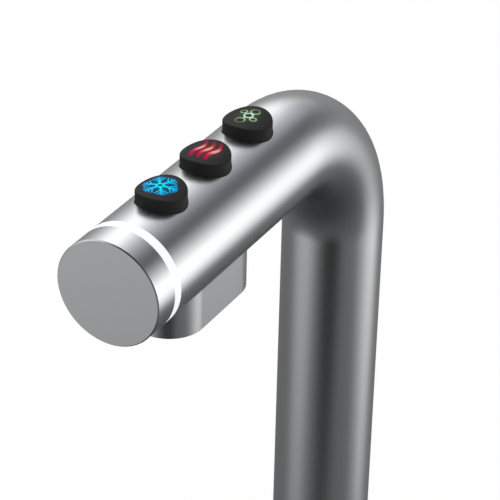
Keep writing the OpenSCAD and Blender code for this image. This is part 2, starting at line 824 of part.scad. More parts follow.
module clamp_washer() {
    color("silver") translate([0, 0, -worktop_t - rubber_t - washer_t]) difference() {
        cylinder(d = washer_d, h = washer_t);
        translate([0, 0, -over]) cylinder(r = shank_r + air, h = washer_t + 2 * over);
    }
}

// A hexagon nut with its corners turned off at both faces
module fixing_nut() {
    corner_r = nut_flats * hex_share / 2;
    color("gold") translate([0, 0, -worktop_t - rubber_t - washer_t - nut_t]) difference() {
        intersection() {
            cylinder(r = corner_r, h = nut_t, $fn = 6);
            rotate_extrude() polygon([
                [0, 0], [corner_r - nut_ch, 0], [corner_r, nut_ch], [corner_r, nut_t - nut_ch],
                [corner_r - nut_ch, nut_t], [0, nut_t]]);
        }
        translate([0, 0, -over]) cylinder(r = shank_r + thread_fit, h = nut_t + 2 * over);
    }
}

body_tube();
outlet_housing();
end_cap();
light_ring();
ring_lamp_board();
ring_lamps();
cap_socket();
cap_seal();
cap_set_screw();
ring_flex();
button_cold();
button_hot();
button_sparkling();
light_guide_cold();
light_guide_hot();
light_guide_sparkling();
plunger_cold();
plunger_hot();
plunger_sparkling();
spring_cold();
spring_hot();
spring_sparkling();
button_seals();
button_carrier();
switch_bodies();
icon_lamps();
control_board();
board_header();
chassis_tray();
chassis_screws();
tray_screws();
outlet_manifold();
outlet_plate();
plate_screws();
nozzle_cold();
nozzle_hot();
nozzle_sparkling();
nozzle_seals();
flow_inserts();
supply_tube_cold();
supply_tube_hot();
supply_tube_sparkling();
supply_ferrules();
wiring_loom();
loom_plug();
loom_socket();
socket_pins();
base_ring();
base_gasket();
base_set_screw();
threaded_shank();
tail_plug();
inlet_stem_cold();
inlet_stem_hot();
inlet_stem_sparkling();
clamp_rubber();
clamp_washer();
fixing_nut();
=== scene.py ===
import json
import math

import bmesh
import bpy
import numpy as np
from mathutils import Matrix, Vector


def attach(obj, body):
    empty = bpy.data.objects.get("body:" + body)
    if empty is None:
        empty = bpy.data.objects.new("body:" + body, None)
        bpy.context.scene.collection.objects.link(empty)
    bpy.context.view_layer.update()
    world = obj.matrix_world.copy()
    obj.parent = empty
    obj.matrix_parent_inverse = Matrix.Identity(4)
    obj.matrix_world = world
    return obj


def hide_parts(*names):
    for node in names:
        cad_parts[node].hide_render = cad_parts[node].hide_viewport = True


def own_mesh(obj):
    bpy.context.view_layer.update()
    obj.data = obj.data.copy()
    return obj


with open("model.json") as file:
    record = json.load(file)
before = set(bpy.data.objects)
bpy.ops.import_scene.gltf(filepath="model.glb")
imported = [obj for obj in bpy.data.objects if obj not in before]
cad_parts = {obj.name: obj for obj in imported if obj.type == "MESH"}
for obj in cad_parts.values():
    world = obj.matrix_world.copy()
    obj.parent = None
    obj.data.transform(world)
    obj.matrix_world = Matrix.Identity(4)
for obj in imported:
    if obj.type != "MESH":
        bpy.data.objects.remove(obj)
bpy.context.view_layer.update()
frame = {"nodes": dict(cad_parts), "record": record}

mm = 0.001  # metres in a millimetre
armHeight = 0.325  # the arm's centreline above the worktop, in metres
tiny = 1e-9  # keeps a division off zero
white = (1, 1, 1, 1)
print("model loaded:", len(frame["nodes"]), "nodes")

# camera: stands right of the cap and looks down over the arm, with angles in degrees, from -Y
# towards +X, and the lens in mm
shot = {
    "azimuth": 28.97,
    "elevation": 31.22,
    "roll": 1.35,
    "place": (0.46075, -0.9155, 0.86025),
    "lens": 173.8,
    "clip": (0.05, 20),
}


def makeCamera(shot):
    az, el = math.radians(shot["azimuth"]), math.radians(shot["elevation"])
    back = Vector((math.sin(az) * math.cos(el), -math.cos(az) * math.cos(el), math.sin(el)))
    data = bpy.data.cameras.new("camera")
    data.lens = shot["lens"]
    data.clip_start, data.clip_end = shot["clip"]
    cam = bpy.data.objects.new("camera", data)
    turn = (-back).to_track_quat("-Z", "Y").to_matrix().to_4x4()
    roll = Matrix.Rotation(math.radians(shot["roll"]), 4, "Z")
    cam.matrix_world = Matrix.Translation(Vector(shot["place"])) @ turn @ roll
    bpy.context.scene.collection.objects.link(cam)
    bpy.context.scene.camera = cam


makeCamera(shot)
bpy.context.scene.view_settings.view_transform = "Standard"
print("camera set")


# a node of a kind, with its own settings and the values of its input sockets
def addNode(nodes, kind, values=None, **settings):
    node = nodes.new(kind)
    for key, setting in settings.items():
        setattr(node, key, setting)
    for socket, value in (values or {}).items():
        node.inputs[socket].default_value = value
    return node


# a Math node whose inputs are sockets or plain numbers
def mathNode(nodes, links, operation, *values):
    node = addNode(nodes, "ShaderNodeMath", operation=operation)
    for socket, value in zip(node.inputs, values):
        if isinstance(value, bpy.types.NodeSocket):
            links.new(value, socket)
        else:
            socket.default_value = value
    return node.outputs[0]


# an empty material, and the socket that its shader goes into
def newMaterial(name):
    mat = bpy.data.materials.new(name)
    mat.use_nodes = True
    nodes, links = mat.node_tree.nodes, mat.node_tree.links
    nodes.clear()
    return mat, nodes, links, addNode(nodes, "ShaderNodeOutputMaterial").inputs["Surface"]


def newPrincipled(name, values):
    mat, nodes, links, surface = newMaterial(name)
    bsdf = addNode(nodes, "ShaderNodeBsdfPrincipled", values)
    links.new(bsdf.outputs[0], surface)
    return mat, nodes, links, bsdf


# a node group with its inputs (name, kind, value) and its outputs (name, kind)
def makeGroup(name, inputs, outputs):
    tree = bpy.data.node_groups.new(name, "ShaderNodeTree")
    for label, kind, value in inputs:
        sock = tree.interface.new_socket(name=label, in_out="INPUT", socket_type=kind)
        sock.default_value = value
    for label, kind in outputs:
        tree.interface.new_socket(name=label, in_out="OUTPUT", socket_type=kind)
    return tree, tree.nodes.new("NodeGroupInput"), tree.nodes.new("NodeGroupOutput")


# fine grain: a soft cloud at Scale and a speck that many times finer, whose sum less its mean swings
# round zero. Rough gets Spread times the swing, Color is scaled by one plus Tint times the swing,
# and Height is the speck.
grain = {"cloudDetail": 3, "speckDetail": 2, "finer": 5, "mean": 1}


def makeGrainGroup(grain):
    number, color = "NodeSocketFloat", "NodeSocketColor"
    tree, gin, gout = makeGroup(
        "fineGrain",
        [("Scale", number, 400.0), ("Rough", number, 0.3), ("Spread", number, 0.05),
         ("Color", color, (0.5, 0.5, 0.5, 1)), ("Tint", number, 0.05)],
        [("Rough", number), ("Height", number), ("Color", color)])
    nodes, links = tree.nodes, tree.links
    coords = addNode(nodes, "ShaderNodeTexCoord")

    def noise(detail, scale):
        node = addNode(nodes, "ShaderNodeTexNoise", {"Detail": detail})
        links.new(coords.outputs["Object"], node.inputs["Vector"])
        links.new(scale, node.inputs["Scale"])
        return node.outputs["Fac"]

    cloud = noise(grain["cloudDetail"], gin.outputs["Scale"])
    finer = mathNode(nodes, links, "MULTIPLY", gin.outputs["Scale"], grain["finer"])
    speck = noise(grain["speckDetail"], finer)
    both = mathNode(nodes, links, "ADD", cloud, speck)
    swing = mathNode(nodes, links, "SUBTRACT", both, grain["mean"])
    rough = mathNode(nodes, links, "MULTIPLY_ADD", swing, gin.outputs["Spread"], gin.outputs["Rough"])
    shade = mathNode(nodes, links, "MULTIPLY_ADD", swing, gin.outputs["Tint"], 1)
    tinted = addNode(nodes, "ShaderNodeVectorMath", operation="SCALE")
    links.new(gin.outputs["Color"], tinted.inputs[0])
    links.new(shade, tinted.inputs["Scale"])
    for label, socket in (("Rough", rough), ("Height", speck), ("Color", tinted.outputs[0])):
        links.new(socket, gout.inputs[label])
    return tree


grainGroup = makeGrainGroup(grain)

# what a finish has where its own line doesn't say, with how far its bump reaches in metres
usual = {"metal": 0.0, "clear": 0.0, "specular": 0.5, "spread": 0.05, "tint": 0.04,
         "bump": 0.0, "bumpReach": 0.0002, "glow": (1, 1, 1), "strength": 0.0}

# finishes, one for each material slot of the record
finishes = {
    "satin_steel": {"color": (0.607, 0.622, 0.634), "metal": 1.0, "rough": 0.27, "scale": 600,
                    "spread": 0.01, "tint": 0.008},
    "ring_white": {"color": (0.36, 0.38, 0.38), "rough": 0.35, "scale": 500,
                   "glow": (0.955, 1.0, 0.995), "strength": 0.63},
    "button_black": {"color": (0.0163, 0.0163, 0.0168), "rough": 0.5, "scale": 1400,
                     "bump": 0.05, "spread": 0.08, "tint": 0.12, "specular": 0.09},
    "clear_plastic": {"color": (0.9, 0.95, 0.97), "rough": 0.08, "scale": 300, "clear": 0.9},
    "spring_steel": {"color": (0.55, 0.55, 0.56), "metal": 1.0, "rough": 0.22, "scale": 1500,
                     "bump": 0.03},
    "seal_rubber": {"color": (0.02, 0.02, 0.02), "rough": 0.75, "scale": 900, "bump": 0.15,
                    "tint": 0.2},
    "carrier_grey": {"color": (0.075, 0.08, 0.085), "rough": 0.55, "scale": 1000, "bump": 0.08,
                     "tint": 0.12},
    "manifold_ivory": {"color": (0.72, 0.69, 0.6), "rough": 0.42, "scale": 700, "bump": 0.05},
    "board_green": {"color": (0.02, 0.13, 0.05), "rough": 0.35, "scale": 800, "bump": 0.04,
                    "tint": 0.15},
    "lamp_yellow": {"color": (0.85, 0.8, 0.45), "rough": 0.25, "scale": 800},
    "flex_amber": {"color": (0.55, 0.22, 0.03), "rough": 0.3, "scale": 600, "bump": 0.03,
                   "tint": 0.1},
    "screw_steel": {"color": (0.56, 0.56, 0.57), "metal": 1.0, "rough": 0.3, "scale": 1200,
                    "bump": 0.04},
    "switch_metal": {"color": (0.7, 0.7, 0.7), "metal": 1.0, "rough": 0.35, "scale": 1200,
                     "bump": 0.03},
    "tube_cold": {"color": (0.05, 0.2, 0.55), "rough": 0.3, "scale": 500, "bump": 0.02,
                  "tint": 0.05},
    "tube_hot": {"color": (0.55, 0.02, 0.02), "rough": 0.3, "scale": 500, "bump": 0.02,
                 "tint": 0.05},
    "tube_sparkling": {"color": (0.15, 0.5, 0.2), "rough": 0.3, "scale": 500, "bump": 0.02,
                       "tint": 0.05},
    "loom_grey": {"color": (0.09, 0.09, 0.095), "rough": 0.7, "scale": 1200, "bump": 0.3,
                  "tint": 0.2},
    "plug_white": {"color": (0.7, 0.7, 0.68), "rough": 0.4, "scale": 800, "bump": 0.03},
    "brass": {"color": (0.73, 0.5, 0.2), "metal": 1.0, "rough": 0.28, "scale": 900, "bump": 0.04,
              "tint": 0.05},
    "insert_white": {"color": (0.8, 0.8, 0.8), "rough": 0.4, "scale": 900, "bump": 0.03,
                     "tint": 0.03},
}


def makeFinish(name, look):
    look = {**usual, **look}
    mat, nodes, links, bsdf = newPrincipled(name, {
        "Metallic": look["metal"],
        "Transmission Weight": look["clear"],
        "Specular IOR Level": look["specular"],
        "Emission Color": (*look["glow"], 1),
        "Emission Strength": look["strength"],
    })
    fine = addNode(nodes, "ShaderNodeGroup", {
        "Scale": look["scale"],
        "Rough": look["rough"],
        "Spread": look["spread"],
        "Color": (*look["color"], 1),
        "Tint": look["tint"],
    }, node_tree=grainGroup)
    links.new(fine.outputs["Rough"], bsdf.inputs["Roughness"])
    links.new(fine.outputs["Color"], bsdf.inputs["Base Color"])
    if look["bump"]:
        bump = addNode(nodes, "ShaderNodeBump", {"Strength": look["bump"], "Distance": look["bumpReach"]})
        links.new(fine.outputs["Height"], bump.inputs["Height"])
        links.new(bump.outputs[0], bsdf.inputs["Normal"])
    return mat


materials = {name: makeFinish(name, look) for name, look in finishes.items()}
slots = {part["node"]: part["material_slot"] for part in frame["record"]["subparts"]}
for node, slotName in slots.items():
    obj = frame["nodes"][node]
    obj.data.materials.clear()
    obj.data.materials.append(materials[slotName])
print("finishes given to", len(frame["nodes"]), "nodes")


# the faces of a grid of points, rows by columns, numbered from start: quads between neighbours, which
# wrap in either direction if closed, and a cap on the first and the last row
def gridFaces(rows, cols, start=0, closeRows=False, closeCols=False, capRows=False):
    index = start + np.arange(rows * cols).reshape(rows, cols)
    down = np.roll(index, -1, 0) if closeRows else index[1:]
    here = index if closeRows else index[:-1]
    if closeCols:
        quads = np.stack([here, np.roll(here, -1, 1), np.roll(down, -1, 1), down], -1)
    else:
        quads = np.stack([here[:, :-1], here[:, 1:], down[:, 1:], down[:, :-1]], -1)
    caps = [index[0][::-1].tolist(), index[-1].tolist()] if capRows else []
    return quads.reshape(-1, 4).tolist() + caps


# a smooth mesh of one grid
def gridMesh(name, grid, **closed):
    mesh = bpy.data.meshes.new(name)
    mesh.from_pydata(grid.reshape(-1, 3).tolist(), [], gridFaces(*grid.shape[:2], **closed))
    mesh.polygons.foreach_set("use_smooth", np.ones(len(mesh.polygons), bool))
    mesh.update()
    return mesh


def addPiece(name, mesh, body, mat):
    obj = bpy.data.objects.new(name, mesh)
    bpy.context.scene.collection.objects.link(obj)
    obj.data.materials.clear()
    obj.data.materials.append(mat)
    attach(obj, body)
    return obj


# shells of the tube: copies of the nodes with exact normals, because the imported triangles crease
# along each round's seam and bright steel shows it; the bend's radius and the distance for merging
# are in metres, and within is in degrees
shells = {
    "nodes": ("body_tube", "end_cap", "light_ring", "base_ring"),
    "bend": 0.0663,
    "within": 5,
    "merge": 1e-7,
}


# Straight out is away from the nearest point of the centreline, which is the column's axis, then a
# quarter circle, then the arm's axis.
def straightOut(points):
    bend = shells["bend"]
    x, y, z = points.T
    across, rise = y + bend, z - (armHeight - bend)
    far = np.maximum(np.hypot(across, rise), tiny)
    inBend = np.stack([x, across * (1 - bend / far), rise * (1 - bend / far)], -1)
    onColumn = np.stack([x, y, 0 * z], -1)
    onArm = np.stack([x, 0 * y, z - armHeight], -1)
    out = np.where((across < 0)[:, None], onArm, np.where((rise < 0)[:, None], onColumn, inBend))
    return out / np.maximum(np.linalg.norm(out, axis=1), tiny)[:, None]


# one value of every element of a mesh, as an array with a row for each
def readAll(elements, name, width, kind=float):
    values = np.zeros(len(elements) * width, kind)
    elements.foreach_get(name, values)
    return values.reshape(-1, width)


# A corner whose normal is within some degrees of straight out, or straight in, gets it exactly. An
# attribute carries the normals over the merging of doubles.
def exactShell(node):
    mesh = frame["nodes"][node].data.copy()
    normals = readAll(mesh.corner_normals, "vector", 3)
    corners = readAll(mesh.loops, "vertex_index", 1, int)[:, 0]
    out = straightOut(readAll(mesh.vertices, "co", 3)[corners])
    along = (normals * out).sum(1)
    near = np.abs(along) > math.cos(math.radians(shells["within"]))
    normals[near] = out[near] * np.sign(along[near])[:, None]
    kept = mesh.attributes.new("keptNormal", "FLOAT_VECTOR", "CORNER")
    kept.data.foreach_set("vector", normals.ravel())
    merged = bmesh.new()
    merged.from_mesh(mesh)
    bmesh.ops.remove_doubles(merged, verts=merged.verts, dist=shells["merge"])
    merged.to_mesh(mesh)
    merged.free()
    normals = readAll(mesh.attributes["keptNormal"].data, "vector", 3)
    mesh.attributes.remove(mesh.attributes["keptNormal"])
    mesh.polygons.foreach_set("use_smooth", np.ones(len(mesh.polygons), bool))
    mesh.normals_split_custom_set(normals.tolist())
    return mesh


for node in shells["nodes"]:
    name = node + "_shell"
    piece = addPiece(name, exactShell(node), "tap", materials[slots[node]])
    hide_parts(node)
print("shells made")

# the three button caps, in mm in the arm's own axes: x across, y along, z up from the centreline.
# The lip's numbers are its foot, its top and its radius, rings counts the grid's rows on the crown
# and on the rim, and hole is what the two caps of the grid close.
buttonCap = {
    "places": {"cold": -161.7, "hot": -125.0, "sparkling": -88.3},
    "radius": 11.27,
    "crown": 30.5,
    "round": 0.4,
    "roundFrom": 10,
    "lip": (13.0, 14.2, 12.42),
    "bore": 9.67,
    "ceiling": 26.14,
    "edge": 0.1,
    "waist": 20.0,
    "overLip": 0.3,
    "hole": 0.02,
    "rings": (18, 9),
    "around": 128,
}


# On the crown the height is the root of crown squared minus x squared, so it follows the tube.
def crownHeight(x):
    return np.sqrt(buttonCap["crown"] ** 2 - x ** 2)


# A profile of (radius, height) turned round the button's axis. The top has the crown's height, and
# its rim is a quarter circle that leaves the crown and ends in the side.
def capGrid(cap):
    r, e = cap["radius"], cap["round"]
    onTop, onRim = cap["rings"]
    quarter = np.radians(np.linspace(cap["roundFrom"], 90, onRim))
    rad = np.concatenate([np.linspace(cap["hole"], r - e, onTop), r - e + e * np.sin(quarter)])
    drop = np.concatenate([np.zeros(onTop), e * (1 - np.cos(quarter))])
    turn = np.linspace(0, 2 * math.pi, cap["around"], endpoint=False)
    x = rad[:, None] * np.cos(turn)[None]
    y = rad[:, None] * np.sin(turn)[None]
    z = crownHeight(x) - drop[:, None]
    low, high, lipR = cap["lip"]
    edge, waist, bore, top = cap["edge"], cap["waist"], cap["bore"], cap["ceiling"]
    rest = [(r, waist), (r, high + cap["overLip"]), (r, high), (lipR - edge, high),
            (lipR, high - edge), (lipR, low + edge), (lipR - edge, low), (bore + edge, low),
            (bore, low + edge), (bore, waist), (bore, top - edge / 2), (bore - edge / 2, top),
            (cap["hole"], top)]
    tail = [np.stack([q * np.cos(turn), q * np.sin(turn), np.full_like(turn, h)], -1) for q, h in rest]
    return np.concatenate([np.stack([x, y, z], -1), np.stack(tail)])


# Points in mm round the arm's axis become points in metres, so far along the arm.
def placeOnArm(points, along):
    return (points + np.array([0, along, armHeight / mm])) * mm


caps = {}
for way, along in buttonCap["places"].items():
    grid = placeOnArm(capGrid(buttonCap), along)[:, ::-1]
    mesh = gridMesh("cap_" + way, grid, closeCols=True, capRows=True)
    piece = addPiece("cap_" + way, mesh, way + "_button", materials["button_black"])
    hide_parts("button_" + way)
    caps[way] = piece
print("button caps made")

# return springs: wire wound from the board up to the light guide, in mm above the arm's centreline,
# with the grid's points in a turn and round the wire
spring = {
    "foot": 4.6,
    "length": 19.79,
    "across": 12.2,
    "wire": 0.8,
    "turns": 8,
    "shut": 0.85,
    "press": 1.5,
    "perTurn": 24,
    "roundWire": 12,
}


# The wire is a circle carried along a helix, which rises by shut in its first and its last turn and
# evenly between them.
def springGrid(spring):
    turns, wire, shut = spring["turns"], spring["wire"], spring["shut"]
    t = np.linspace(0, turns, turns * spring["perTurn"] + 1)[:, None]
    around = np.linspace(0, 2 * math.pi, spring["roundWire"], endpoint=False)[None]
    top = spring["length"] - wire
    rise = np.interp(t, [0, 1, turns - 1, turns], [0, shut, top - shut, top]) + wire / 2
    r = (spring["across"] - wire) / 2 + wire / 2 * np.cos(around)
    z = spring["foot"] + rise + wire / 2 * np.sin(around)
    return np.stack([r * np.cos(2 * math.pi * t), r * np.sin(2 * math.pi * t), z], -1)[:, ::-1]


for way, along in buttonCap["places"].items():
    grid = placeOnArm(springGrid(spring), along)
    mesh = gridMesh("coil_" + way, grid, closeCols=True, capRows=True)
    piece = addPiece("coil_" + way, mesh, "tap", materials["spring_steel"])
    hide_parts("spring_" + way)
    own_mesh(piece)
print("springs made")

# icons: strokes that follow the crown and stand a hair proud of it, and between them a dark film
# with a painted glow of the icon's light on it, in mm. A stroke's grid has its lanes at these shares of
# the half width, a film's has so many from side to side, and steps is how many points a curve has.
icon = {
    "proud": 0.05,
    "film": 0.02,
    "sunk": 0.12,
    "lanes": (-1, -0.33, 0.33, 1),
    "filmLanes": 20,
    "steps": 40,
}


# Rows of plan points become a closed strip, whose top lies on the crown plus proud and whose foot
# lies sunk below the crown.
def onCrown(rows, proud, along):
    lift = np.repeat([proud, -icon["sunk"]], rows.shape[1])
    xy = np.concatenate([rows, rows[:, ::-1]], 1)
    z = crownHeight(xy[..., 0]) + lift[None]
    return placeOnArm(np.concatenate([xy, z[..., None]], -1)[:, ::-1], along)


# A stroke runs along a path in plan with a half width at each point, measured square to the path.
def strokeGrid(path, half, along, closed=False):
    path = np.asarray(path, float)
    half = np.broadcast_to(np.asarray(half, float), len(path))
    if closed:
        step = np.roll(path, -1, 0) - np.roll(path, 1, 0)
    else:
        step = np.gradient(path, axis=0)
    step /= np.linalg.norm(step, axis=1)[:, None]
    side = np.stack([-step[:, 1], step[:, 0]], -1)
    lanes = np.array(icon["lanes"])
    rows = path[:, None] + side[:, None] * (half[:, None, None] * lanes[None, :, None])
    return onCrown(rows, icon["proud"], along)


# A film lies between two paths in plan, with straight rows from one to the other.
def filmGrid(first, last, along):
    share = np.linspace(0, 1, icon["filmLanes"])[None, :, None]
    return onCrown(first[:, None] + share * (last - first)[:, None], icon["film"], along)


# The two sides of a form that is symmetrical about a line through centre, turned by so many degrees:
# each side is half away from its place on the line.
def bothSides(centre, turn, place, half):
    a = math.radians(turn)
    ahead, side = np.array((math.cos(a), math.sin(a))), np.array((-math.sin(a), math.cos(a)))
    middle = np.array(centre) + place[:, None] * ahead
    return middle - half[:, None] * side, middle + half[:, None] * side


# one mesh of several strips, each of which runs round or has its ends capped
def stripsMesh(name, strips):
    verts, faces = [], []
    for grid, closed in strips:
        faces += gridFaces(*grid.shape[:2], start=len(verts), closeRows=closed, closeCols=True,
                           capRows=not closed)
        verts += grid.reshape(-1, 3).tolist()
    mesh = bpy.data.meshes.new(name)
    mesh.from_pydata(verts, [], faces)
    mesh.update()
    return mesh


# a straight path with even steps
def line(a, b, count):
    return np.linspace(a, b, count)


# arms at even angles round a hexagon, each with a fan of barbs that reach towards the next arm; a
# barb has its root on the arm, its length and its lean in degrees
snow = {
    "centre": (-0.97, 0.71),
    "arms": 6,
    "turn": 5.9,
    "hub": 1.7,
    "reach": 8.0,
    "half": 0.52,
    "barbHalf": 0.31,
    "barbs": ((3.9, 4.0, 50), (5.6, 2.7, 48), (7.0, 1.3, 46)),
    "film": 7.7,
    "filmEnd": 0.02,
    "armSteps": 12,
    "barbSteps": 8,
}


# Every arm and barb is drawn along +x and turned. A barb goes forward by its length times the cosine
# of its lean, and sideways by its length times the sine.
def snowflake():
    strokes = []
    around = np.radians(np.arange(snow["arms"]) * 360 / snow["arms"] + snow["turn"])
    for a in around:
        turn = np.array([[math.cos(a), math.sin(a)], [-math.sin(a), math.cos(a)]])
        arm = line((snow["hub"], 0), (snow["reach"], 0), snow["armSteps"])
        strokes.append((arm @ turn, snow["half"], False))
        for root, long, lean in snow["barbs"]:
            across, ahead = long * math.sin(math.radians(lean)), long * math.cos(math.radians(lean))
            for s in (1, -1):
                barb = line((root, 0), (root + ahead, s * across), snow["barbSteps"])
                strokes.append((barb @ turn, snow["barbHalf"], False))
    hub = np.stack([np.cos(around), np.sin(around)], -1) * snow["hub"]
    strokes.append((hub, snow["half"], True))
    return [(path + np.array(snow["centre"]), half, closed) for path, half, closed in strokes]


# The snowflake's film is a hexagon with its corners on the arms. Its half width is the root of three
# times half its reach, or times what is left of its reach where that is less.
def snowFilm():
    reach = snow["film"]
    place = np.linspace(-reach + snow["filmEnd"], reach - snow["filmEnd"], icon["steps"])
    half = np.minimum(reach / 2, reach - np.abs(place)) * math.sqrt(3)
    return [bothSides(snow["centre"], snow["turn"], place, half)]


# three upright waves side by side, thin at both ends
waves = {
    "from": -7.2,
    "to": 9.8,
    "crest": 4.0,
    "length": 13.6,
    "sway": 0.95,
    "across": (-3.9, -0.1, 3.5),
    "half": 0.95,
    "tip": 0.2,
    "skew": 0.6,
    "film": (-5.5, 7.5),
}


# A wave sways by the cosine of its height from the crest.
def wavePath(x, y):
    sway = waves["sway"] * np.cos(2 * math.pi * (y - waves["crest"]) / waves["length"])
    return np.stack([x + sway, y], -1)


# A wave's half width is tip plus the root of a sine, whose peak skew moves towards the lower end.
def steam():
    t = np.linspace(0, 1, icon["steps"])
    y = waves["from"] + (waves["to"] - waves["from"]) * t
    swell = np.sqrt(np.maximum(np.sin(math.pi * t ** waves["skew"]), 0))
    half = waves["tip"] + (waves["half"] - waves["tip"]) * swell
    return [(wavePath(x, y), half, False) for x in waves["across"]]


# The steam's film reaches from the middle of the last wave to the middle of the first.
def steamFilm():
    y = np.linspace(*waves["film"], icon["steps"])
    return [(wavePath(waves["across"][-1], y), wavePath(waves["across"][0], y))]


# five rings, the middle one first, each with its x, y, radius and half width, and short links from
# the middle one to those that it doesn't touch; a film's ends are filmEnd radians from its axis
fizz = {
    "rings": ((-0.2, 1.2, 2.0, 0.42), (-1.5, -4.3, 2.15, 0.38), (3.2, -0.8, 1.45, 0.36),
              (0.8, 5.7, 2.05, 0.38), (-4.0, 3.9, 1.45, 0.36)),
    "leastLink": 0.3,
    "linkSteps": 4,
    "filmEnd": 0.04,
    "filmSteps": 24,
}


# A ring is a circle. A link fills the gap between the middle ring and another.
def bubbles():
    around = np.linspace(0, 2 * math.pi, icon["steps"], endpoint=False)
    strokes = []
    for x, y, r, half in fizz["rings"]:
        strokes.append((np.stack([x + r * np.cos(around), y + r * np.sin(around)], -1), half, True))
    middle, middleR = np.array(fizz["rings"][0][:2]), fizz["rings"][0][2]
    for x, y, r, half in fizz["rings"][1:]:
        there = np.array((x, y))
        toward = (there - middle) / np.linalg.norm(there - middle)
        start, end = middle + middleR * toward, there - r * toward
        if (end - start) @ toward > fizz["leastLink"]:
            strokes.append((line(start, end, fizz["linkSteps"]), half, False))
    return strokes


# Each ring has a round film, whose half width is the root of its radius squared less place squared.
def bubbleFilm():
    turn = np.linspace(fizz["filmEnd"], math.pi - fizz["filmEnd"], fizz["filmSteps"])
    films = []
    for x, y, r, half in fizz["rings"]:
        place = -r * np.cos(turn)
        films.append(bothSides((x, y), 0, place, np.sqrt(r ** 2 - place ** 2)))
    return films


# the light of each icon: its colours from the middle outwards, or up along the arm for the steam,
# over reach millimetres, the painted glow of its dark film between the strokes, and the faint glow
# that it gives the cap round it
prints = {
    "cold": {
        "draw": snowflake,
        "film": snowFilm,
        "centre": snow["centre"],
        "reach": 9.0,
        "upward": False,
        "colors": [(0.0, (0.005, 0.78, 0.96)), (0.25, (0.005, 0.74, 0.95)), (0.5, (0.004, 0.62, 0.95)),
                   (0.72, (0.002, 0.46, 0.85)), (0.95, (0.0, 0.16, 0.42))],
        "filmColors": [(0.0, (0.0, 0.12, 0.21)), (0.35, (0.0, 0.1, 0.195)),
                       (0.55, (0.0, 0.065, 0.145)), (0.85, (0.0, 0.055, 0.13))],
        "halo": (0.0, 0.045, 0.11),
        "haloCentre": snow["centre"],
        "haloReach": 8.6,
    },
    "hot": {
        "draw": steam,
        "film": steamFilm,
        "centre": (0, -8.5),
        "reach": 20,
        "upward": True,
        "colors": [(0.0, (0.16, 0.0, 0.03)), (0.12, (0.33, 0.002, 0.05)), (0.25, (0.49, 0.0, 0.04)),
                   (0.325, (0.57, 0.02, 0.06)), (0.4, (0.7, 0.13, 0.18)), (0.475, (0.86, 0.32, 0.3)),
                   (0.56, (0.84, 0.32, 0.28)), (0.63, (0.62, 0.15, 0.16)), (0.7, (0.43, 0.02, 0.055)),
                   (0.8, (0.34, 0.005, 0.045)), (0.95, (0.12, 0.005, 0.03))],
        "filmColors": [(0.15, (0.05, 0.026, 0.028)), (0.275, (0.13, 0.01, 0.02)),
                       (0.5, (0.16, 0.024, 0.02)), (0.6, (0.15, 0.022, 0.018)),
                       (0.725, (0.075, 0.018, 0.014)), (0.8, (0.045, 0.027, 0.027))],
        "halo": (0.06, 0.004, 0.01),
        "haloCentre": (0, 1.3),
        "haloReach": 8.5,
    },
    "sparkling": {
        "draw": bubbles,
        "film": bubbleFilm,
        "centre": (-0.2, 1.2),
        "reach": 8.0,
        "upward": False,
        "colors": [(0.2, (0.56, 0.76, 0.62)), (0.5, (0.34, 0.45, 0.27)), (0.9, (0.12, 0.15, 0.09))],
        "filmColors": [(0.1, (0.006, 0.056, 0.026)), (0.5, (0.018, 0.05, 0.018)),
                       (0.9, (0.012, 0.03, 0.01))],
        "halo": (0.005, 0.02, 0.008),
        "haloCentre": (-0.2, 1.2),
        "haloReach": 7.5,
    },
}

# a print's own surface under its light, and the share of haloReach within which the halo is full
printLook = {"color": (0.004, 0.004, 0.004), "rough": 0.5, "ior": 1.1, "haloFull": 0.45}


# how far a point lies from a print's centre in plan, or above it along the arm, over its reach
def printPlace(nodes, links, centre, along, reach, upward=False):
    coords = addNode(nodes, "ShaderNodeTexCoord")
    place = addNode(nodes, "ShaderNodeMapping", {
        "Location": (centre[0] * mm, (along + centre[1]) * mm, 0),
        "Scale": (reach * mm, reach * mm, 1),
    }, vector_type="TEXTURE")
    links.new(coords.outputs["Object"], place.inputs["Vector"])
    axes = addNode(nodes, "ShaderNodeSeparateXYZ")
    links.new(place.outputs[0], axes.inputs[0])
    if upward:
        return axes.outputs["Y"]
    flat = addNode(nodes, "ShaderNodeCombineXYZ")
    links.new(axes.outputs["X"], flat.inputs["X"])
    links.new(axes.outputs["Y"], flat.inputs["Y"])
    length = addNode(nodes, "ShaderNodeVectorMath", operation="LENGTH")
    links.new(flat.outputs[0], length.inputs[0])
    return length.outputs["Value"]


def makeLitPrint(name, look, colors, along):
    mat, nodes, links, bsdf = newPrincipled(name, {
        "Base Color": (*printLook["color"], 1),
        "Roughness": printLook["rough"],
        "IOR": printLook["ior"],
        "Emission Strength": 1,
    })
    ramp = addNode(nodes, "ShaderNodeValToRGB")
    ramp.color_ramp.interpolation = "EASE"
    while len(ramp.color_ramp.elements) < len(colors):
        ramp.color_ramp.elements.new(0.5)  # a new stop waits in the middle
    for stop, (at, color) in zip(ramp.color_ramp.elements, colors):
        stop.position, stop.color = at, (*color, 1)
    place = printPlace(nodes, links, look["centre"], along, look["reach"], look["upward"])
    links.new(place, ramp.inputs["Fac"])
    links.new(ramp.outputs["Color"], bsdf.inputs["Emission Color"])
    return mat


